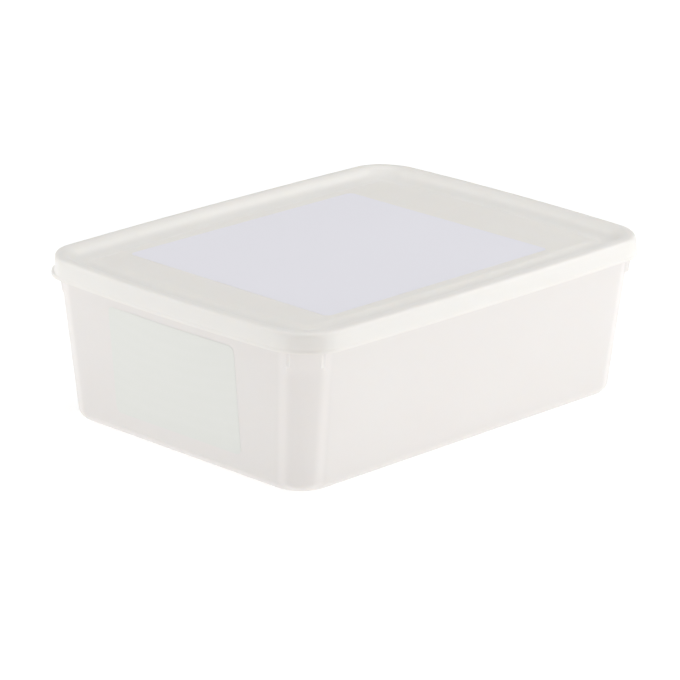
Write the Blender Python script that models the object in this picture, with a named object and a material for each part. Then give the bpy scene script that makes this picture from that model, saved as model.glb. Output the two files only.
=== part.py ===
"""A two-litre rectangular food tub, shut with its press-on lid, in metres and +Z up.

Four separate pieces: the tub, the lid, the label on the lid and the label on one short end.
The shut tub can't be seen into, so it is one solid up to just under the lid.
The origin is under the middle of the whole, on the plane that it stands on. X runs along the long sides.
"""
import math
from collections import namedtuple

import bmesh
import bpy

# Overall size of the shut pack
LID_LENGTH = 0.2280
LID_WIDTH = 0.1759
HEIGHT = 0.0753

# The lid: its outer edge seen from above, its skirt and its bow
LID_CORNER = 0.0221
LID_BOW_X = 0.0036
LID_BOW_Y = 0.0023
SKIRT_HEIGHT = 0.0091
SKIRT_WALL = 0.0013
SMALLEST_CORNER = 0.0035

# The tub's wall: how far it sits inside the skirt, and how it tapers to the base
WALL_INSET = 0.0036
DRAFT_X = 0.0066
DRAFT_Y = 0.0089
WALL_CORNER_TOP = 0.0201
WALL_CORNER_BASE = 0.0171
BASE_FILLET = 0.0051
FILLET_STEPS = 4

# The base: a flat foot ring round a shallow recess
FOOT_WIDTH = 0.0090
FOOT_SLOPE = 0.0020
BASE_RECESS = 0.0012

# The nesting lug under the skirt at each corner
LUG_PROUD = 0.0016
LUG_BOTTOM = 0.0588
LUG_HALF_ANGLE = math.radians(19.4)
LUG_FLANK_ANGLE = math.radians(1.6)

# The lift tab on the skirt, at the corner towards -X and +Y
TAB_PROUD = 0.0012
TAB_HALF_ANGLE = math.radians(26.0)
TAB_CORNER = (-1, 1)

# The recess in the lid that holds its label
RECESS_HALF_X = 0.0712
RECESS_HALF_Y = 0.0630
RECESS_CORNER = 0.0050
RECESS_DEPTH = 0.0005
RECESS_FLANK = 0.0005
LABEL_CENTRE = (-0.0050, 0.0)

# The two labels
LID_LABEL_LENGTH = 0.1400
LID_LABEL_WIDTH = 0.1240
LID_LABEL_CORNER = 0.0040
END_LABEL_Y = (-0.0400, 0.0385)
END_LABEL_Z = (0.0110, 0.0610)
LABEL_THICKNESS = 0.00025
CLEARANCE = 0.0003

# Steps along each straight side, and the angles that a corner's arc is drawn at
SIDE_STEPS = 6
ARC_ANGLES = (
    0.0,
    math.radians(12.0),
    math.radians(45.0) - LUG_HALF_ANGLE - LUG_FLANK_ANGLE,
    math.radians(45.0) - LUG_HALF_ANGLE,
    math.radians(35.0),
    math.radians(45.0),
    math.radians(55.0),
    math.radians(45.0) + LUG_HALF_ANGLE,
    math.radians(45.0) + LUG_HALF_ANGLE + LUG_FLANK_ANGLE,
    math.radians(78.0),
    math.radians(90.0),
)
CORNERS = ((1, 1), (-1, 1), (-1, -1), (1, -1))

# The lid's outer section: distance in from its edge, depth below its top
LID_SECTION = (
    (0.0226, 0.0030),
    (0.0214, 0.0029),
    (0.0200, 0.0026),
    (0.0185, 0.0024),
    (0.0170, 0.0028),
    (0.0155, 0.0036),
    (0.0140, 0.0038),
    (0.0115, 0.0035),
    (0.0090, 0.0027),
    (0.0070, 0.0016),
    (0.0055, 0.0005),
    (0.0042, 0.0000),
    (0.0026, 0.0004),
    (0.0013, 0.0015),
    (0.0007, 0.0034),
    (0.0004, 0.0072),
    (0.0000, 0.0079),
)

# The lid's underside, from the skirt's inner foot to the flat under the panel
LID_UNDERSIDE = (
    (0.0015, 0.0036),
    (0.0024, 0.0018),
    (0.0042, 0.0010),
    (0.0055, 0.0016),
    (0.0070, 0.0026),
    (0.0090, 0.0037),
    (0.0115, 0.0045),
    (0.0140, 0.0048),
    (0.0230, 0.0048),
)

# The tub's own rim, hidden in the lid's channel, from its flange to its flat top
TUB_RIM = (
    (0.0020, 0.0074),
    (0.0020, 0.0034),
    (0.0028, 0.0021),
    (0.0042, 0.0014),
    (0.0054, 0.0020),
    (0.0066, 0.0031),
    (0.0090, 0.0052),
)
RIM_ROOT_DEPTH = 0.0083

Shape = namedtuple("Shape", "half_x half_y corner bow_x bow_y")


def clear_scene():
    """Remove the objects that the file opens with."""
    for thing in list(bpy.data.objects):
        bpy.data.objects.remove(thing, do_unlink=True)


def plastic(name, colour, roughness):
    """One moulded or printed plastic."""
    material = bpy.data.materials.new(name)
    material.use_nodes = True
    shader = material.node_tree.nodes["Principled BSDF"]
    shader.inputs["Base Color"].default_value = (*colour, 1.0)
    shader.inputs["Roughness"].default_value = roughness
    shader.inputs["Metallic"].default_value = 0.0
    return material


def bowed(shape, x, y, across, along):
    """Pull a point of a straight-sided outline in, so that each side bows out at its middle."""
    pulled_x = x - across * shape.bow_x * (y / shape.half_y) ** 2
    pulled_y = y - along * shape.bow_y * (x / shape.half_x) ** 2
    return pulled_x, pulled_y


def corner_points(shape, corner, swell):
    """The arc of one corner, anticlockwise; swell gives how far each angle stands proud."""
    sign_x, sign_y = corner
    points = []
    for angle in ARC_ANGLES:
        reach = shape.corner + swell(corner, angle)
        across, along = math.cos(angle), math.sin(angle)
        x = sign_x * (shape.half_x - shape.corner + reach * across)
        y = sign_y * (shape.half_y - shape.corner + reach * along)
        points.append(bowed(shape, x, y, sign_x * across, sign_y * along))
    if sign_x * sign_y < 0:
        points.reverse()
    return points


def side_points(shape, start, end, across, along):
    """The points between two corners, on a side whose outward direction is (across, along)."""
    points = []
    for step in range(1, SIDE_STEPS):
        share = step / SIDE_STEPS
        x = start[0] + (end[0] - start[0]) * share
        y = start[1] + (end[1] - start[1]) * share
        points.append(bowed(shape, x, y, across, along))
    return points


def no_swell(corner, angle):
    return 0.0


def lug_swell(corner, angle):
    """The nesting lug stands proud over the middle of each corner."""
    if abs(angle - math.radians(45.0)) > LUG_HALF_ANGLE + 1e-6:
        return 0.0
    return LUG_PROUD


def tab_swell(corner, angle):
    """The lift tab swells smoothly out of one corner of the skirt."""
    turn = abs(angle - math.radians(45.0)) / TAB_HALF_ANGLE
    if corner != TAB_CORNER or turn >= 1.0:
        return 0.0
    return TAB_PROUD * math.cos(turn * math.pi / 2) ** 2


def ring(shape, height, swell=no_swell, centre=(0.0, 0.0)):
    """One closed level ring, anticlockwise seen from above."""
    flat_x = shape.half_x - shape.corner
    flat_y = shape.half_y - shape.corner
    sides = (
        ((flat_x, shape.half_y), (-flat_x, shape.half_y), 0, 1),
        ((-shape.half_x, flat_y), (-shape.half_x, -flat_y), -1, 0),
        ((-flat_x, -shape.half_y), (flat_x, -shape.half_y), 0, -1),
        ((shape.half_x, -flat_y), (shape.half_x, flat_y), 1, 0),
    )
    points = []
    for corner, (start, end, across, along) in zip(CORNERS, sides):
        points += corner_points(shape, corner, swell)
        points += side_points(shape, start, end, across, along)
    return [(x + centre[0], y + centre[1], height) for x, y in points]


def lid_shape(inset):
    """The lid's outline, drawn in from its outer edge by inset."""
    return Shape(
        LID_LENGTH / 2 - inset,
        LID_WIDTH / 2 - inset,
        max(LID_CORNER - inset, SMALLEST_CORNER),
        LID_BOW_X,
        LID_BOW_Y,
    )


def lid_ring(inset, depth, swell=no_swell):
    return ring(lid_shape(inset), HEIGHT - depth, swell)


def wall_shape(height, inset=0.0):
    """The tub's outline at one height; the bow fades out towards the base."""
    top = HEIGHT - SKIRT_HEIGHT
    fall = (top - height) / (top - BASE_FILLET)
    corner = WALL_CORNER_TOP + (WALL_CORNER_BASE - WALL_CORNER_TOP) * fall
    return Shape(
        LID_LENGTH / 2 - WALL_INSET - DRAFT_X * fall - inset,
        LID_WIDTH / 2 - WALL_INSET - DRAFT_Y * fall - inset,
        max(corner - inset, SMALLEST_CORNER),
        LID_BOW_X * (1 - fall),
        LID_BOW_Y * (1 - fall),
    )


def loft(name, rings, material):
    """Join level rings into one closed solid, with a flat cap on the first and the last."""
    mesh = bmesh.new()
    loops = [[mesh.verts.new(point) for point in points] for points in rings]
    count = len(loops[0])
    for lower, upper in zip(loops, loops[1:]):
        for index in range(count):
            following = (index + 1) % count
            mesh.faces.new((lower[index], lower[following], upper[following], upper[index]))
    mesh.faces.new(list(reversed(loops[0])))
    mesh.faces.new(loops[-1])
    bmesh.ops.recalc_face_normals(mesh, faces=mesh.faces)
    return finish(name, mesh, material)


def finish(name, mesh, material):
    """Turn a bmesh into a named object with smooth rounds and its own material."""
    data = bpy.data.meshes.new(name)
    mesh.to_mesh(data)
    mesh.free()
    data.shade_smooth()
    data.set_sharp_from_angle(angle=math.radians(35.0))
    data.materials.append(material)
    thing = bpy.data.objects.new(name, data)
    bpy.context.scene.collection.objects.link(thing)
    return thing


def foot_and_fillet_rings():
    """The recess under the base, the flat foot ring and the rounded lower edge, from the middle outwards."""
    foot_outer = BASE_FILLET
    foot_inner = foot_outer + FOOT_WIDTH
    base = BASE_FILLET
    rings = [
        ring(wall_shape(base, foot_inner + FOOT_SLOPE), BASE_RECESS),
        ring(wall_shape(base, foot_inner), 0.0),
    ]
    for step in range(FILLET_STEPS + 1):
        turn = math.pi / 2 * step / FILLET_STEPS
        inset = BASE_FILLET * (1 - math.sin(turn))
        height = BASE_FILLET * (1 - math.cos(turn))
        rings.append(ring(wall_shape(base, inset), height))
    return rings


def make_tub(material):
    """The tub's tapered wall, corner lugs and rim, as one solid."""
    rings = foot_and_fillet_rings()
    middle = (BASE_FILLET + LUG_BOTTOM) / 2
    root = HEIGHT - RIM_ROOT_DEPTH
    rings.append(ring(wall_shape(middle), middle))
    rings.append(ring(wall_shape(LUG_BOTTOM), LUG_BOTTOM))
    lug_foot = LUG_BOTTOM + LUG_PROUD / 4
    rings.append(ring(wall_shape(lug_foot), lug_foot, lug_swell))
    rings.append(ring(wall_shape(root), root, lug_swell))
    rings += [lid_ring(inset, depth) for inset, depth in TUB_RIM]
    return loft("tub", rings, material)


def make_lid(material):
    """The lid's panel, ridge, groove, rolled rim and skirt, as one thin shell."""
    panel_depth = LID_SECTION[0][1]
    floor_shape = Shape(RECESS_HALF_X - RECESS_FLANK, RECESS_HALF_Y - RECESS_FLANK, RECESS_CORNER, 0.0, 0.0)
    edge_shape = Shape(RECESS_HALF_X, RECESS_HALF_Y, RECESS_CORNER, 0.0, 0.0)
    rings = [
        ring(floor_shape, HEIGHT - panel_depth - RECESS_DEPTH, centre=LABEL_CENTRE),
        ring(edge_shape, HEIGHT - panel_depth, centre=LABEL_CENTRE),
    ]
    for inset, depth in LID_SECTION[:-1]:
        rings.append(lid_ring(inset, depth))
    bead_inset, bead_depth = LID_SECTION[-1]
    rings.append(lid_ring(bead_inset, bead_depth, tab_swell))
    rings.append(lid_ring(bead_inset, SKIRT_HEIGHT, tab_swell))
    rings.append(lid_ring(SKIRT_WALL, SKIRT_HEIGHT))
    rings += [lid_ring(inset, depth) for inset, depth in LID_UNDERSIDE]
    return loft("lid", rings, material)


def make_lid_label(material):
    """A flat printed sheet with round corners, lying in the lid's recess."""
    shape = Shape(LID_LABEL_LENGTH / 2, LID_LABEL_WIDTH / 2, LID_LABEL_CORNER, 0.0, 0.0)
    lower = HEIGHT - LID_SECTION[0][1] - RECESS_DEPTH + CLEARANCE
    rings = [ring(shape, height, centre=LABEL_CENTRE) for height in (lower, lower + LABEL_THICKNESS)]
    return loft("lid_label", rings, material)


def end_wall_x(y, z, off):
    """How far out the short end towards -X is at one place, plus off."""
    shape = wall_shape(z)
    return -(shape.half_x - shape.bow_x * (y / shape.half_y) ** 2) - off


def make_end_label(material):
    """A printed sheet that follows the bowed, sloping wall of the short end towards -X."""
    columns, rows = 12, 6
    mesh = bmesh.new()
    layers = []
    for off in (CLEARANCE, CLEARANCE + LABEL_THICKNESS):
        layer = {}
        for column in range(columns + 1):
            y = END_LABEL_Y[0] + (END_LABEL_Y[1] - END_LABEL_Y[0]) * column / columns
            for row in range(rows + 1):
                z = END_LABEL_Z[0] + (END_LABEL_Z[1] - END_LABEL_Z[0]) * row / rows
                layer[column, row] = mesh.verts.new((end_wall_x(y, z, off), y, z))
        layers.append(layer)
    for layer in layers:
        for column in range(columns):
            for row in range(rows):
                corners = ((column, row), (column + 1, row), (column + 1, row + 1), (column, row + 1))
                mesh.faces.new([layer[place] for place in corners])
    edge = [(column, 0) for column in range(columns)]
    edge += [(columns, row) for row in range(rows)]
    edge += [(column, rows) for column in range(columns, 0, -1)]
    edge += [(0, row) for row in range(rows, 0, -1)]
    back, front = layers
    for place, following in zip(edge, edge[1:] + edge[:1]):
        mesh.faces.new((back[place], back[following], front[following], front[place]))
    bmesh.ops.recalc_face_normals(mesh, faces=mesh.faces)
    return finish("end_label", mesh, material)


def main():
    clear_scene()
    tub_plastic = plastic("tub_polypropylene", (0.86, 0.84, 0.81), 0.38)
    lid_plastic = plastic("lid_polypropylene", (0.84, 0.82, 0.79), 0.42)
    lid_film = plastic("lid_label_film", (0.74, 0.73, 0.78), 0.45)
    end_film = plastic("end_label_film", (0.77, 0.78, 0.75), 0.45)
    pack = bpy.data.objects.new("pack", None)
    bpy.context.scene.collection.objects.link(pack)
    pieces = (
        make_tub(tub_plastic),
        make_lid(lid_plastic),
        make_lid_label(lid_film),
        make_end_label(end_film),
    )
    for piece in pieces:
        piece.parent = pack


main()
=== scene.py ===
# %% [markdown]
# # A shut food tub in white polypropylene
# The object is a two-litre tub of moulded plastic with a press-on lid, a plain label field on the lid
# and another on one short end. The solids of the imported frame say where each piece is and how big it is.
# This lesson builds the finished pieces round them: the same forms, with edges and flanks as round as
# a mould leaves them, and with surfaces that behave like the real plastic and film.

# %% Load the frame
import math

import bmesh
import bpy
import numpy as np
from mathutils import Matrix, Vector


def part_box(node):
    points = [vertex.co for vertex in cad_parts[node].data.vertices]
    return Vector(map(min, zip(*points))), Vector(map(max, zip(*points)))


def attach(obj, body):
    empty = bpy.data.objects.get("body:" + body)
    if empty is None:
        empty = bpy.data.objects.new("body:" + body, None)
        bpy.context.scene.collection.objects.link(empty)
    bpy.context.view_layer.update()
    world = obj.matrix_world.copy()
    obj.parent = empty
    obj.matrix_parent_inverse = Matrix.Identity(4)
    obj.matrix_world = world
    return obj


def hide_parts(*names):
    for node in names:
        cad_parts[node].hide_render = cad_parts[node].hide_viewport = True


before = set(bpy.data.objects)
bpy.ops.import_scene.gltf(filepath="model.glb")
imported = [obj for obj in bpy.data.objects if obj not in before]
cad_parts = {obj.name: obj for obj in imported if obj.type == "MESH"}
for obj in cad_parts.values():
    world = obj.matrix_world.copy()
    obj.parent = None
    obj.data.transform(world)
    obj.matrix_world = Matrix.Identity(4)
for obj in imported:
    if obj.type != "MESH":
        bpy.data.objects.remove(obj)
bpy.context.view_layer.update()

MM = 0.001

# %% [markdown]
# ## Sizes
# A frame is only worth having if the new pieces are measured from it. The lid's box gives the overall
# length, width and height. The tub's taper comes from its own points at two levels, just above the
# rounded lower edge and just below the corner lugs, because the mould narrows in a straight line
# between them. Only small sizes that a box can't tell, such as radii, are written down here.

# %% Read the main sizes
lid_low, lid_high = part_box("lid")
LID_HALF_X = lid_high.x
LID_HALF_Y = lid_high.y
TOP = lid_high.z
SKIRT_HEIGHT = lid_high.z - lid_low.z
LID_CORNER = 22.1 * MM
BASE_FILLET = 5.1 * MM
LUG_BOTTOM = 58.8 * MM
# How far the two ends and the two long sides bow out
LID_BOW = (3.6 * MM, 2.3 * MM)
# The radius of the tub's corners at its base and at the skirt's lower edge
WALL_CORNERS = (17.1 * MM, 20.1 * MM)


def half_sizes_at(node, height, reach=0.05 * MM):
    """Half the length and half the width of a CAD node at one level."""
    points = np.array([vertex.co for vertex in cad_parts[node].data.vertices])
    level = points[abs(points[:, 2] - height) < reach]
    return level[:, 0].max(), level[:, 1].max()


BASE_HALF = half_sizes_at("tub", BASE_FILLET)
SHOULDER_HALF = half_sizes_at("tub", LUG_BOTTOM)
print("half sizes in mm at the base:", [round(value / MM, 2) for value in BASE_HALF])
print("half sizes in mm below the lugs:", [round(value / MM, 2) for value in SHOULDER_HALF])

# %% [markdown]
# ## One outline for every level
# Seen from above, the lid and the tub are rectangles with round corners and sides that bow out by two
# or three millimetres, which keeps a moulded side from caving in. Bevelling a box would give the corners
# but not the bow, so each level is worked out as a ring of points: arcs at the corners, straight
# steps between them, and then every point is pulled in along its own direction by a parabola.
# The arc's angles are close together where a corner lug begins and ends.

# %% Draw a ring
SIDE_STEPS = 18
ARC_STEPS = 30
LUG_HALF_ANGLE = math.radians(19.4)
LUG_FLANK = math.radians(8.6)
DIAGONAL = math.radians(45.0)
FLANK_SHARES = (-0.02, 0, 0.02, 0.1, 0.2, 0.3, 0.4, 0.5, 0.6, 0.7, 0.8, 0.9, 1)
flank_angles = [LUG_HALF_ANGLE + LUG_FLANK * share for share in FLANK_SHARES]
lug_angles = [DIAGONAL + side * angle for side in (-1, 1) for angle in flank_angles]
even_angles = np.linspace(0.0, math.pi / 2, ARC_STEPS + 1)
ARC_ANGLES = np.unique(np.round(np.concatenate([even_angles, lug_angles]), 5))
CORNERS = ((1, 1), (-1, 1), (-1, -1), (1, -1))


def ring(half, radius, bow, swell=None):
    """A closed outline, anticlockwise from above, as rows of x and y. swell(corner, angles) pushes it out."""
    flat_x, flat_y = half[0] - radius, half[1] - radius
    rows = []
    for number, (sign_x, sign_y) in enumerate(CORNERS):
        angles = ARC_ANGLES if sign_x * sign_y > 0 else ARC_ANGLES[::-1]
        reach = radius + (swell((sign_x, sign_y), angles) if swell else 0.0)
        across, along = sign_x * np.cos(angles), sign_y * np.sin(angles)
        arc_x, arc_y = sign_x * flat_x + reach * across, sign_y * flat_y + reach * along
        rows.append(np.stack([arc_x, arc_y, across, along], 1))
        following = CORNERS[(number + 1) % len(CORNERS)]
        across, along = (0.0, sign_y) if sign_x != following[0] else (sign_x, 0.0)
        start = np.array([sign_x * flat_x + radius * across, sign_y * flat_y + radius * along])
        end = np.array([following[0] * flat_x + radius * across, following[1] * flat_y + radius * along])
        share = np.arange(1, SIDE_STEPS)[:, None] / SIDE_STEPS
        side = start + (end - start) * share
        rows.append(np.hstack([side, np.tile([across, along], (len(side), 1))]))
    x, y, across, along = np.concatenate(rows).T
    pulled_x = x - across * bow[0] * (y / half[1]) ** 2
    pulled_y = y - along * bow[1] * (x / half[0]) ** 2
    return np.stack([pulled_x, pulled_y], 1)


def at_height(points, height):
    """A level ring as rows of x, y and z."""
    return np.hstack([points, np.full((len(points), 1), height)])


print("points in one ring:", len(ring((LID_HALF_X, LID_HALF_Y), LID_CORNER, LID_BOW)))

# %% [markdown]
# ## From rings to a closed skin
# A stack of rings with the same number of points is a loft: each ring is joined to the next with a band
# of four-sided faces, and the first and last ring are capped. The cap has many corners, so it is only
# laid where the surface is dead flat, with a narrow band round it that keeps its shading clean.
# Faces are shaded smooth, and edges that turn sharply are marked so that they stay crisp.

# %% Loft rings into a mesh
SHARP = math.radians(50.0)


def loft(name, rings, cap_margin=0.02):
    """A closed object from rings of x, y and z. Each cap is drawn in a little, at the same level, first."""
    def drawn_in(points):
        middle = points.mean(axis=0)
        return middle + (points - middle) * (1 - cap_margin)

    rings = [drawn_in(rings[0]), *rings, drawn_in(rings[-1])]
    count = len(rings[0])
    here = np.arange(count)
    after = (here + 1) % count
    faces = []
    for level in range(len(rings) - 1):
        low, high = level * count, (level + 1) * count
        faces += np.stack([low + here, low + after, high + after, high + here], 1).tolist()
    faces.append(here[::-1].tolist())
    faces.append(((len(rings) - 1) * count + here).tolist())
    data = bpy.data.meshes.new(name)
    data.from_pydata(np.concatenate(rings).tolist(), [], faces)
    shape = bmesh.new()
    shape.from_mesh(data)
    bmesh.ops.recalc_face_normals(shape, faces=shape.faces)
    shape.to_mesh(data)
    shape.free()
    data.shade_smooth()
    data.set_sharp_from_angle(angle=SHARP)
    thing = bpy.data.objects.new(name, data)
    bpy.context.scene.collection.objects.link(thing)
    print(name, "has", len(data.vertices), "points and", len(data.polygons), "faces")
    return thing


print("edges that turn by more than", round(math.degrees(SHARP)), "degrees stay crisp")

# %% [markdown]
# ## Smooth sections
# A section through a wall or a rim is written as a few knots, because that is what can be read off a
# photo. Cutting every corner between them again and again turns them into a smooth curve. A smooth ramp
# does the same for a form that has to fade out.

# %% Smooth a section
CUT = 0.25


def rounded(knots, rounds):
    """A smooth curve along a few knots, by cutting every corner a quarter of the way along."""
    points = np.array(knots, float)
    for _ in range(rounds):
        first = points[:-1] * (1 - CUT) + points[1:] * CUT
        second = points[:-1] * CUT + points[1:] * (1 - CUT)
        between = np.stack([first, second], 1).reshape(-1, 2)
        points = np.concatenate([points[:1], between[1:-1], points[-1:]])
    return points


def ramp(value, start, end):
    """0 before start, 1 after end, and a smooth rise between them."""
    share = np.clip((value - start) / (end - start), 0.0, 1.0)
    return share * share * (3 - 2 * share)


print("three knots cut twice give", len(rounded([(0, 0), (1, 0), (1, 1)], 2)), "points")

# %% [markdown]
# ## The tub's wall
# The real tub is shot into a steel mould in one go: a wall that leans out so that it leaves the mould,
# and a lug under the lid at each corner that stops nested tubs from jamming. The lugs are part of the
# same skin: the rings simply swell out over the middle of each corner, with a flat underside and hollow
# flanks that run out into the wall. A joined-on block would have a hard seam. The lug below the lid's
# lifting tab stands out less, to make room for a finger.

# %% Draw the wall
LUG_PROUD = 1.6 * MM
TAB_LUG_PROUD = 0.5 * MM
TAB_CORNER = (-1, 1)
LEAST_BASE_CORNER = 2.0 * MM


def wall_half(height):
    """Half the length and half the width of the wall at one height, on a straight line between two levels."""
    share = (height - BASE_FILLET) / (LUG_BOTTOM - BASE_FILLET)
    return [low + (high - low) * share for low, high in zip(BASE_HALF, SHOULDER_HALF)]


def wall_share(height):
    """0 at the base and 1 at the skirt's lower edge: how far the bow has grown."""
    return (height - BASE_FILLET) / (TOP - SKIRT_HEIGHT - BASE_FILLET)


def lug(height):
    """How far the lugs stand out at one level, for each angle round a corner."""
    lift = 1.0 if height > LUG_BOTTOM else 0.0

    def swell(corner, angles):
        run_out = 1 - np.clip((abs(angles - DIAGONAL) - LUG_HALF_ANGLE) / LUG_FLANK, 0.0, 1.0)
        return lift * (TAB_LUG_PROUD if corner == TAB_CORNER else LUG_PROUD) * run_out ** 2

    return swell


def wall_ring(height, inset=0.0, level=None):
    """The tub's outline at one height, drawn in by inset and laid at another level if one is given."""
    share = wall_share(height)
    half = [value - inset for value in wall_half(height)]
    radius = WALL_CORNERS[0] + (WALL_CORNERS[1] - WALL_CORNERS[0]) * share - inset
    bow = [value * share for value in LID_BOW]
    outline = ring(half, max(radius, LEAST_BASE_CORNER), bow, lug(height))
    return at_height(outline, height if level is None else level)


for height in (BASE_FILLET, LUG_BOTTOM):
    print("at", round(height / MM, 1), "mm the wall is", round(2 * wall_half(height)[0] / MM, 1), "mm long")

# %% [markdown]
# ## The tub's foot and rim
# The base is hollow under its middle, so that the tub stands on a foot ring without rocking, and the
# wall begins with a rounded lower edge. The tub is shut and can't be seen into, so it is a solid here. Its
# top follows the underside of the lid, just clear of it.

# %% Build the tub
FILLET_STEPS = 10
WALL_LEVELS = 16
LUG_LEVELS = 7
LUG_UNDERSIDE = 0.08 * MM
RIM_ROOT = TOP - 8.3 * MM
LEAST_LID_CORNER = 3.5 * MM
# Insets from the wall and heights above the table, in mm, from the middle outwards
FOOT_SECTION = ((17.0, 1.2), (15.6, 1.2), (15.0, 1.15), (14.4, 0.05), (13.8, 0.0), (12.0, 0.0))
# Insets from the lid's outline and depths below its top, in mm, of what the lid hides
HIDDEN_RIM = ((2.7, 7.4), (2.7, 3.6), (3.3, 2.6), (4.4, 1.8), (5.6, 2.4), (7.0, 3.5), (9.0, 5.4))


def foot_rings():
    """The recess under the base, the foot ring and the rounded lower edge, from the middle outwards."""
    rings = [wall_ring(BASE_FILLET, inset * MM, level * MM) for inset, level in rounded(FOOT_SECTION, 2)]
    for turn in np.linspace(0.0, math.pi / 2, FILLET_STEPS + 1):
        inset, level = BASE_FILLET * (1 - math.sin(turn)), BASE_FILLET * (1 - math.cos(turn))
        rings.append(wall_ring(BASE_FILLET, inset, level))
    return rings


def lid_ring(inset, depth, swell=None):
    """The lid's outline drawn in by inset, at a depth below its top."""
    half = (LID_HALF_X - inset, LID_HALF_Y - inset)
    outline = ring(half, max(LID_CORNER - inset, LEAST_LID_CORNER), LID_BOW, swell)
    return at_height(outline, TOP - depth)


tub_rings = foot_rings()
tub_rings += [wall_ring(height) for height in np.linspace(BASE_FILLET, LUG_BOTTOM, WALL_LEVELS)[1:]]
tub_rings += [wall_ring(height) for height in np.linspace(LUG_BOTTOM + LUG_UNDERSIDE, RIM_ROOT, LUG_LEVELS)]
tub_rings += [lid_ring(inset * MM, depth * MM) for inset, depth in HIDDEN_RIM]
tub = loft("moulded_tub", tub_rings)

# %% [markdown]
# ## The lid's section
# A press-on lid is a thin sheet of plastic that runs from the flat panel down a soft step into a
# groove, up a hollow slope to the rolled rim and down the outside as a skirt, with a bead along its
# lower edge that snaps over the tub. That whole path is one section. It is written as a few knots,
# rounded by cutting corners, and carried round the lid as rings. At one corner the skirt is drawn in
# above its bead, and the bead is left standing out as a tab to lift the lid by.

# %% Write the lid's section
PANEL_DEPTH = 3.1
# Insets from the outline and depths below the top, in mm, from the panel out to the bead
OUTER_SECTION = (
    (22.4, PANEL_DEPTH), (21.8, PANEL_DEPTH), (21.1, PANEL_DEPTH), (20.2, 3.15), (19.2, 3.42), (18.2, 3.85),
    (17.2, 4.2), (16.2, 4.38), (15.0, 4.38), (13.8, 4.3), (12.5, 4.15), (11.3, 3.85), (10.2, 3.3), (9.3, 2.6),
    (8.2, 1.45), (7.3, 0.8), (6.2, 0.3), (5.0, 0.0), (2.8, 0.1), (1.5, 0.6), (0.85, 1.8), (0.6, 3.6),
    (0.42, 6.4), (0.34, 7.4), (0.2, 7.8), (0.05, 8.2), (0.0, 8.6), (0.0, 9.0), (0.02, 9.1), (1.1, 9.1),
)
# The same for the underside, from the bead back in
UNDER_SECTION = (
    (1.2, 8.6), (1.3, 3.6), (2.4, 1.8), (4.2, 1.0), (5.5, 1.6), (7.0, 2.6), (9.0, 3.7), (11.5, 4.9),
    (14.0, 5.2), (21.0, 5.2),
)
TAB_PROUD = 1.2 * MM
# The depths between which the skirt is drawn in and let out again, and the insets where that fades, in mm
TAB_DRAWS_IN, TAB_LETS_OUT, TAB_FADES = (-2.0, 4.5), (7.0, 8.0), (2.0, 5.0)


def tab(inset, depth):
    """How far the skirt is drawn in above the lifting tab at one knot, for each angle round its corner."""
    drawn_in = TAB_PROUD * ramp(depth, *TAB_DRAWS_IN) * (1 - ramp(depth, *TAB_LETS_OUT))
    drawn_in = drawn_in * (1 - ramp(inset, *TAB_FADES))

    def swell(corner, angles):
        return -drawn_in * np.cos(2 * (angles - DIAGONAL)) ** 2 * (corner == TAB_CORNER)

    return swell


print("the section has", len(OUTER_SECTION), "knots outside and", len(UNDER_SECTION), "under the lid")

# %% [markdown]
# ## The lid
# The first rings are the shallow recess that the label lies in, which starts as a flat floor and rises
# to the panel. The rest are the section carried round, first the outside and then the underside.

# %% Build the lid
RECESS_DEPTH = 0.15
RECESS_CORNER = 4.5 * MM
RECESS_MARGIN = (2.4 * MM, 1.0 * MM)
NO_BOW = (0.0, 0.0)
# Shares of the margin still to cross and of the recess's depth, from the floor outwards
RECESS_SECTION = ((1.3, 1.0), (1.0, 1.0), (0.8, 0.84), (0.2, 0.12), (0.0, 0.0), (-0.02, 0.0))
label_low, label_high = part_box("lid_label")
LABEL_MIDDLE = np.array([(label_low.x + label_high.x) / 2, (label_low.y + label_high.y) / 2, 0.0])
LABEL_HALF = ((label_high.x - label_low.x) / 2, (label_high.y - label_low.y) / 2)

lid_rings = []
for share, depth in rounded(RECESS_SECTION, 2):
    half = [value + margin * (1 - share) for value, margin in zip(LABEL_HALF, RECESS_MARGIN)]
    level = TOP - (PANEL_DEPTH + RECESS_DEPTH * depth) * MM
    lid_rings.append(at_height(ring(half, RECESS_CORNER, NO_BOW), level) + LABEL_MIDDLE)
for inset, depth in [*rounded(OUTER_SECTION, 2), *rounded(UNDER_SECTION, 1)]:
    lid_rings.append(lid_ring(inset * MM, depth * MM, tab(inset, depth)))
lid = loft("moulded_lid", lid_rings)

# %% [markdown]
# ## The labels
# Each label is a thin printed film, cut with small round corners. A flat plane would do for the lid, but
# the end wall bows and leans, and a plane would cut through it. So a label is a set of nested rings in
# its own plane, each point then pushed out to the wall behind it, once for the back and once for the front.

# %% Build the labels
FILM_BACK = -0.05 * MM
FILM_FRONT = 0.07 * MM
FILM_CORNER = 3.0 * MM
# The sizes of the nested rings as shares of the whole, and a small ring's radius as a share of its half width
FILM_SHARES = [*np.linspace(0.06, 0.97, 12).tolist(), 1.0]
ROUNDEST = 0.45


def film(name, half, place):
    """A sheet from nested rings. place(across, up, off) says where a point of the sheet is."""
    rings = []
    for off, order in ((FILM_BACK, FILM_SHARES), (FILM_FRONT, FILM_SHARES[::-1])):
        for share in order:
            drawn = [value * share for value in half]
            flat = ring(drawn, min(FILM_CORNER, ROUNDEST * min(drawn)), NO_BOW)
            rings.append(np.array([place(across, up, off) for across, up in flat]))
    return loft(name, rings)


def on_panel(across, up, off):
    """A point of the lid's label, off the floor of its recess."""
    return LABEL_MIDDLE[0] + across, LABEL_MIDDLE[1] + up, TOP - (PANEL_DEPTH + RECESS_DEPTH) * MM + off


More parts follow.
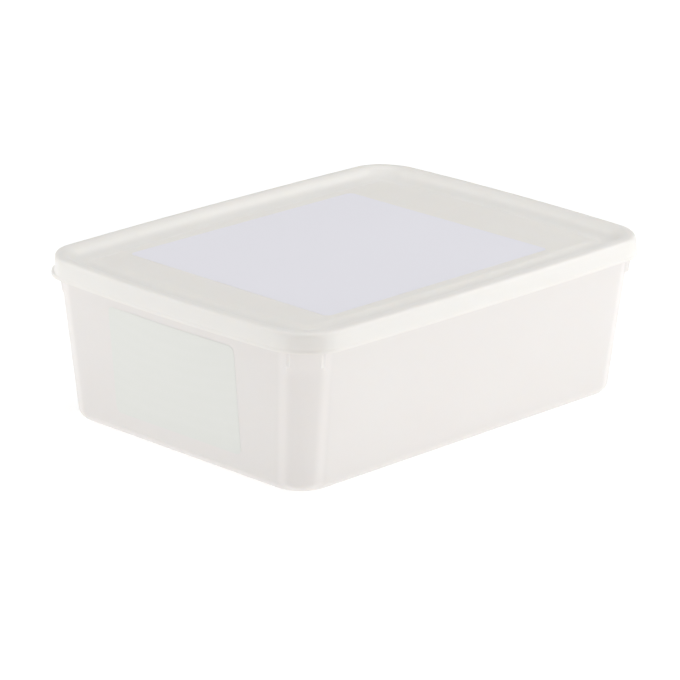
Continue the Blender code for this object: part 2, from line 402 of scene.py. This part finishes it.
end_low, end_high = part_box("end_label")
END_MIDDLE = ((end_low.y + end_high.y) / 2, (end_low.z + end_high.z) / 2)
END_HALF = ((end_high.y - end_low.y) / 2, (end_high.z - end_low.z) / 2)


def on_end_wall(across, up, off):
    """A point of the end label, off the bowed and leaning wall."""
    y, z = END_MIDDLE[0] + across, END_MIDDLE[1] + up
    half_x, half_y = wall_half(z)
    bow = LID_BOW[0] * wall_share(z)
    return -(half_x - bow * (y / half_y) ** 2) - off, y, z


lid_label = film("printed_lid_label", LABEL_HALF, on_panel)
end_label = film("printed_end_label", END_HALF, on_end_wall)

# %% [markdown]
# ## Colour and nodes
# Colours are picked as the hex values that a paint program shows, but a shader needs linear light, so
# one function turns the first into the second. Another adds any node with its settings and its links
# in one line, so that a material reads from top to bottom like a recipe.

# %% Helpers for materials
METRE_TO_MM = 1000.0


def linear(hex_colour):
    """An sRGB hex colour as linear red, green, blue and alpha, by the curve of the sRGB standard."""
    values = [int(hex_colour[i : i + 2], 16) / 255 for i in (1, 3, 5)]
    return [v / 12.92 if v <= 0.04045 else ((v + 0.055) / 1.055) ** 2.4 for v in values] + [1.0]


def add(owner, kind, settings=None, **links):
    """Add a node to a material or world: its properties and constant sockets, and links by socket name."""
    node = owner.node_tree.nodes.new(kind)
    for key, value in (settings or {}).items():
        if key in node.inputs:
            node.inputs[key].default_value = value
        else:
            setattr(node, key, value)
    for key, source in links.items():
        owner.node_tree.links.new(source, node.inputs[key.replace("_", " ")])
    return node


def blank(name):
    """A material with nothing in it but its output."""
    material = bpy.data.materials.new(name)
    material.use_nodes = True
    material.node_tree.nodes.clear()
    return material, add(material, "ShaderNodeOutputMaterial")


print("a warm white in linear light:", [round(value, 3) for value in linear("#F1EEE9")])

# %% [markdown]
# ## Painted light and shade at a corner
# The near upright corner has a greyer middle between two paler stripes. They are light and shade: a sheen of
# the side lights and shade towards the camera. The lamps here didn't give them, so they are painted into the
# plastic's colour, a painted shade in the middle and painted sheen stripes beside it, the same at every
# corner. The surface's own
# direction says where a corner is: the product of its x and y is 0 on a flat side and 0.5 on a corner's
# diagonal. That stays put when the view moves, whereas a tint by the viewing angle would slide along.

# %% Paint light and shade on the corners
# Where, by the product below, a corner's painted sheen stripes and then its painted shade fade in
PAINTED_SHEEN_TURN = (0.12, 0.26)
PAINTED_SHADE_TURN = (0.30, 0.44)


def paint_corner_light(material, colour, painted_sheen, painted_shade):
    """A colour with a corner's painted sheen stripes and painted shade in its middle laid over it."""
    normal = add(material, "ShaderNodeTexCoord").outputs["Normal"]
    facing = add(material, "ShaderNodeSeparateXYZ", Vector=normal)
    product = add(material, "ShaderNodeMath", {"operation": "MULTIPLY"})
    material.node_tree.links.new(facing.outputs["X"], product.inputs[0])
    material.node_tree.links.new(facing.outputs["Y"], product.inputs[1])
    turned = add(material, "ShaderNodeMath", {"operation": "ABSOLUTE"}, Value=product.outputs["Value"])
    # First the painted sheen stripes, then the painted shade in the corner's middle
    for (start, end), hex_colour in ((PAINTED_SHEEN_TURN, painted_sheen), (PAINTED_SHADE_TURN, painted_shade)):
        share = add(
            material, "ShaderNodeMapRange",
            {"interpolation_type": "SMOOTHSTEP", "From Min": start, "From Max": end},
            Value=turned.outputs["Value"],
        )
        mix = add(
            material, "ShaderNodeMix", {"data_type": "RGBA", "B": linear(hex_colour)},
            Factor=share.outputs["Result"], A=colour,
        )
        colour = mix.outputs["Result"]
    return colour


print("the tint of a corner starts where the product is", PAINTED_SHEEN_TURN[0])

# %% [markdown]
# ## The skin of a moulding
# A mould leaves a satin skin with a fine orange-peel of about a millimetre, which is bump because it is
# far too shallow to be shape. Stacking adds hairline scuffs, which only change how shiny the plastic is,
# so they go into the roughness: a noise that is stretched into long thin streaks.

# %% Give the plastic its skin
PEEL_SIZE = 1.1
PEEL_STRENGTH = 0.25
SCUFF_SIZE = 9.0
SCUFF_STRETCH = (0.35, 6.0, 2.0)
SCUFF_TURN = (0.2, 0.4, 0.6)
SCUFF_FROM, SCUFF_TO = 0.35, 0.75
SCUFF_DULLS = 0.10


def moulded_skin(material, place, roughness, peel):
    """The gloss with its scuffs, and an orange-peel bump that is peel mm deep, as two outputs."""
    stretched = add(
        material, "ShaderNodeMapping", {"Scale": SCUFF_STRETCH, "Rotation": SCUFF_TURN}, Vector=place
    )
    scuff = add(
        material, "ShaderNodeTexNoise", {"Scale": METRE_TO_MM / SCUFF_SIZE, "Detail": 6.0},
        Vector=stretched.outputs["Vector"],
    )
    satin = add(
        material, "ShaderNodeMapRange",
        {
            "From Min": SCUFF_FROM, "From Max": SCUFF_TO,
            "To Min": roughness, "To Max": roughness + SCUFF_DULLS,
        },
        Value=scuff.outputs["Fac"],
    )
    grain = add(
        material, "ShaderNodeTexNoise", {"Scale": METRE_TO_MM / PEEL_SIZE, "Detail": 2.0}, Vector=place
    )
    bump = add(
        material, "ShaderNodeBump", {"Strength": PEEL_STRENGTH, "Distance": peel * MM},
        Height=grain.outputs["Fac"],
    )
    return satin.outputs["Result"], bump.outputs["Normal"]


print("orange-peel", PEEL_SIZE, "mm across, scuffs", SCUFF_SIZE, "mm before they are stretched")

# %% [markdown]
# ## Polypropylene, injection-moulded
# The tub and lid are polypropylene with a white pigment. To the eye that is a soft, faintly warm white:
# light goes a few millimetres in before it comes out again, which softens every edge, and over that
# lies a satin gloss. A plain white diffuse surface looks like chalk, so the shader has a little
# subsurface light under the moulded skin, and a broad, faint clouding where the melt flowed.

# %% Make the polypropylene
POLYPROPYLENE_IOR = 1.49
CLOUD_SIZE = 45.0
UNDER_SKIN_SHARE = 0.25
UNDER_SKIN_REACH = 2.5 * MM
# How far red, green and blue light go in, as shares of that reach
UNDER_SKIN_COLOURS = (1.0, 0.85, 0.7)


def polypropylene_moulded(name, light, dark, painted_sheen, painted_shade, roughness, peel):
    """White moulded plastic: two ends of its clouding, a corner's painted sheen and painted shade, its gloss
    and peel in mm.
    """
    material, out = blank(name)
    place = add(material, "ShaderNodeTexCoord").outputs["Object"]
    cloud = add(
        material, "ShaderNodeTexNoise", {"Scale": METRE_TO_MM / CLOUD_SIZE, "Detail": 3.0}, Vector=place
    )
    clouded = add(
        material, "ShaderNodeMix", {"data_type": "RGBA", "A": linear(dark), "B": linear(light)},
        Factor=cloud.outputs["Fac"],
    )
    satin, bump = moulded_skin(material, place, roughness, peel)
    # The base colour carries the corners' painted sheen and painted shade
    shader = add(
        material, "ShaderNodeBsdfPrincipled",
        {
            "IOR": POLYPROPYLENE_IOR, "Metallic": 0.0, "Subsurface Weight": UNDER_SKIN_SHARE,
            "Subsurface Scale": UNDER_SKIN_REACH, "Subsurface Radius": UNDER_SKIN_COLOURS,
        },
        Base_Color=paint_corner_light(material, clouded.outputs["Result"], painted_sheen, painted_shade),
        Roughness=satin, Normal=bump,
    )
    material.node_tree.links.new(shader.outputs["BSDF"], out.inputs["Surface"])
    return material


# The third and fourth colours of each are a corner's painted sheen stripe and its painted shade
tub_plastic = polypropylene_moulded(
    "polypropylene_moulded_tub", light="#EBE8E5", dark="#E9E5E2", painted_sheen="#F0ECE9", painted_shade="#E9E5E2",
    roughness=0.31, peel=0.02,
)
lid_plastic = polypropylene_moulded(
    "polypropylene_moulded_lid", light="#F2EFEA", dark="#EFECE7", painted_sheen="#F0EDE8", painted_shade="#ECE8E3",
    roughness=0.33, peel=0.03,
)
print("made", tub_plastic.name, "and", lid_plastic.name)

# %% [markdown]
# ## Film, printed
# The label fields are thin film of the same plastic, printed all over with one tint. To the eye that is
# a flat, very pale colour with a soft gloss, which varies a little where the ink lies thicker or thinner.
# Such a tint is printed as a fine screen of dots. Real dots are about 0.15 mm apart and would blur into
# noise, so they are drawn at 0.6 mm, very faint.

# %% Make the film
DOT_SPACING = 0.6
DOT_WANDER = 0.35
DOT_EDGE = (0.3, 0.8)
PAPER_SHOWS = 0.25
WASH_SIZE = 30.0
WASH_STRENGTH = 0.2
WASH_DEPTH = 0.05 * MM
GLOSSIER, DULLER = 0.03, 0.05


def film_printed(name, tint, paper, roughness):
    """Printed polypropylene film. tint is the ink's colour and paper the film's between the dots."""
    material, out = blank(name)
    place = add(material, "ShaderNodeTexCoord").outputs["Object"]
    dots = add(
        material, "ShaderNodeTexVoronoi", {"Scale": METRE_TO_MM / DOT_SPACING, "Randomness": DOT_WANDER},
        Vector=place,
    )
    wash = add(
        material, "ShaderNodeTexNoise", {"Scale": METRE_TO_MM / WASH_SIZE, "Detail": 2.0}, Vector=place
    )
    cover = add(
        material, "ShaderNodeMapRange",
        {"From Min": DOT_EDGE[0], "From Max": DOT_EDGE[1], "To Min": 0.0, "To Max": PAPER_SHOWS},
        Value=dots.outputs["Distance"],
    )
    ink = add(
        material, "ShaderNodeMix", {"data_type": "RGBA", "A": linear(tint), "B": linear(paper)},
        Factor=cover.outputs["Result"],
    )
    satin = add(
        material, "ShaderNodeMapRange", {"To Min": roughness - GLOSSIER, "To Max": roughness + DULLER},
        Value=wash.outputs["Fac"],
    )
    bump = add(
        material, "ShaderNodeBump", {"Strength": WASH_STRENGTH, "Distance": WASH_DEPTH},
        Height=wash.outputs["Fac"],
    )
    shader = add(
        material, "ShaderNodeBsdfPrincipled", {"IOR": POLYPROPYLENE_IOR, "Metallic": 0.0},
        Base_Color=ink.outputs["Result"], Roughness=satin.outputs["Result"], Normal=bump.outputs["Normal"],
    )
    material.node_tree.links.new(shader.outputs["BSDF"], out.inputs["Surface"])
    return material


lid_film = film_printed("film_printed_lavender", tint="#F0EFF6", paper="#F4F4F6", roughness=0.36)
end_film = film_printed("film_printed_green_grey", tint="#E6E7E2", paper="#EDEDEA", roughness=0.36)
print("made", lid_film.name, "and", end_film.name)

# %% [markdown]
# ## Join the pieces to the frame
# Each finished piece stands for the plain solid of the same place. It rides on the frame's one body,
# takes its material, and the plain solid is hidden.

# %% Ride and replace
joined = (
    (tub, "tub", "tub_plastic", tub_plastic),
    (lid, "lid", "lid_plastic", lid_plastic),
    (lid_label, "lid_label", "lid_film", lid_film),
    (end_label, "end_label", "end_film", end_film),
)
for piece, node, slot, material in joined:
    piece.data.materials.append(material)
    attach(piece, "root")
    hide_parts(node)
    print(piece.name, "stands for", node)

# %% [markdown]
# ## A table that glows
# White goods on a white ground are photographed on a sheet of translucent acrylic lit from below, so
# that the ground stays white and no shadow falls. The glow also lights the walls of the tub from
# below, which is why they look lighter than the lid. A floor with a soft glow does the same. The glow
# grows with distance, as the paper behind such a table is lit on its own.

# %% Make the floor
FLOOR_HALF = 6.0
FLOOR_DROP = 0.02 * MM
GLOW_NEAR, GLOW_FAR = 0.58, 0.80
# How far from the middle the glow starts to grow and how far out it is full, in metres
GLOW_STARTS, GLOW_FULL = 0.25, 0.75
floor_data = bpy.data.meshes.new("floor")
ends = ((-1, -1), (1, -1), (1, 1), (-1, 1))
floor_data.from_pydata([(x * FLOOR_HALF, y * FLOOR_HALF, -FLOOR_DROP) for x, y in ends], [], [(0, 1, 2, 3)])
floor = bpy.data.objects.new("floor", floor_data)
bpy.context.scene.collection.objects.link(floor)
acrylic, acrylic_out = blank("acrylic_opal_lit")
away = add(
    acrylic, "ShaderNodeVectorMath", {"operation": "LENGTH"},
    Vector=add(acrylic, "ShaderNodeTexCoord").outputs["Object"],
)
glow = add(
    acrylic, "ShaderNodeMapRange",
    {
        "interpolation_type": "SMOOTHSTEP", "From Min": GLOW_STARTS, "From Max": GLOW_FULL,
        "To Min": GLOW_NEAR, "To Max": GLOW_FAR,
    },
    Value=away.outputs["Value"],
)
sheet = add(
    acrylic, "ShaderNodeBsdfPrincipled",
    {"Base Color": linear("#C8C8C8"), "Roughness": 0.6, "Emission Color": linear("#FFFFFF")},
    Emission_Strength=glow.outputs["Result"],
)
acrylic.node_tree.links.new(sheet.outputs["BSDF"], acrylic_out.inputs["Surface"])
floor_data.materials.append(acrylic)
print("the table glows from", GLOW_NEAR, "by the tub to", GLOW_FAR, "further out")

# %% [markdown]
# ## A sweep of lit paper
# The photo is high in key: light comes from all round. Behind the table a sweep of lit paper rises from
# the horizon. The world stands in for it: bright low down and fading to a dim room above.

# %% Light the surroundings
ROOM_GLOW, SWEEP_GLOW = 0.129, 0.70
SWEEP_TOP = 0.3
world = bpy.data.worlds.new("studio")
world.use_nodes = True
world.node_tree.nodes.clear()
towards = add(world, "ShaderNodeTexCoord").outputs["Generated"]
upward = add(world, "ShaderNodeSeparateXYZ", Vector=towards).outputs["Z"]
sweep = add(
    world, "ShaderNodeMapRange",
    {
        "interpolation_type": "SMOOTHSTEP", "From Min": 0.0, "From Max": SWEEP_TOP,
        "To Min": ROOM_GLOW + SWEEP_GLOW, "To Max": ROOM_GLOW,
    },
    Value=upward,
)
paper = add(world, "ShaderNodeBackground", {"Color": linear("#FFFFFF")}, Strength=sweep.outputs["Result"])
add(world, "ShaderNodeOutputWorld", Surface=paper.outputs["Background"])
bpy.context.scene.world = world
print("the sweep fades out at", round(math.degrees(math.asin(SWEEP_TOP)), 1), "degrees above the table")

# %% [markdown]
# ## Soft boxes
# The rest of the light is soft boxes, and least of it comes from the camera's own side, so the near
# corner is the darkest upright. One overhead lights the lid. A small pair close by at the sides falls
# off along the walls, a high pair behind the tub lights the rim, and a weak pair stands by the camera.
# The right one of a pair is stronger.

# %% Set the soft boxes
CAMERA_AZIMUTH = -45.493
# Name, degrees round from the camera, degrees up, distance and size in metres, and watts right and left
PAIRS = (
    ("side", 82, 20, 0.65, 0.4, 0.61, 0.50),
    ("back", 115, 42, 1.5, 0.9, 6.4, 5.2),
    ("front", 32, 24, 1.4, 0.8, 2.7, 1.4),
)


def direction(azimuth, elevation):
    """The direction from the object towards a place. Azimuth 0 is towards -Y, and 90 towards +X."""
    turn, rise = math.radians(azimuth), math.radians(elevation)
    return np.array([math.sin(turn) * math.cos(rise), -math.cos(turn) * math.cos(rise), math.sin(rise)])


def soft_box(name, azimuth, elevation, distance, size, watts):
    """A square light that faces the object and stays out of the picture."""
    data = bpy.data.lights.new(name, "AREA")
    data.shape = "SQUARE"
    data.size = size
    data.energy = watts
    lamp = bpy.data.objects.new(name, data)
    away = Vector(direction(azimuth, elevation))
    lamp.location = away * distance
    lamp.rotation_mode = "QUATERNION"
    lamp.rotation_quaternion = away.to_track_quat("Z", "Y")
    lamp.visible_camera = False
    bpy.context.scene.collection.objects.link(lamp)
    print(name, "gives", watts, "W from", distance, "m")


soft_box("overhead", azimuth=0, elevation=89, distance=1.6, size=1.2, watts=9.5)
for name, turn, elevation, distance, size, right_watts, left_watts in PAIRS:
    soft_box(name + "_right", CAMERA_AZIMUTH + turn, elevation, distance, size, right_watts)
    soft_box(name + "_left", CAMERA_AZIMUTH - turn, elevation, distance, size, left_watts)

# %% [markdown]
# ## Camera
# The view was found by fitting a pinhole camera to the object's outline in the photo: a long lens, from
# about eighteen degrees above, turned to the near corner, with half a degree of roll.

# %% Place the camera
CAMERA_ELEVATION = 18.415
CAMERA_ROLL = 0.543
CAMERA_DISTANCE = 1.8078
AIM = (4.2 * MM, 8.2 * MM, 26.4 * MM)
SENSOR = 36.0
FOCAL = 211.76


def place_camera():
    """The scene's camera, from the directions of its own right, up and back."""
    back = direction(CAMERA_AZIMUTH, CAMERA_ELEVATION)
    turn, roll = math.radians(CAMERA_AZIMUTH), math.radians(CAMERA_ROLL)
    right = np.array([math.cos(turn), math.sin(turn), 0.0])
    up = np.cross(back, right)
    rolled_right = math.cos(roll) * right + math.sin(roll) * up
    rolled_up = -math.sin(roll) * right + math.cos(roll) * up
    data = bpy.data.cameras.new("camera")
    data.sensor_width = SENSOR
    data.lens = FOCAL
    camera = bpy.data.objects.new("camera", data)
    place = np.array(AIM) + back * CAMERA_DISTANCE
    rows = np.stack([rolled_right, rolled_up, back, place], 1)
    camera.matrix_world = Matrix([*rows.tolist(), [0.0, 0.0, 0.0, 1.0]])
    bpy.context.scene.collection.objects.link(camera)
    bpy.context.scene.camera = camera
    return camera


camera = place_camera()
bpy.context.scene.view_settings.view_transform = "Standard"
bpy.context.scene.view_settings.look = "None"
print("camera stands at", [round(value, 3) for value in camera.location])
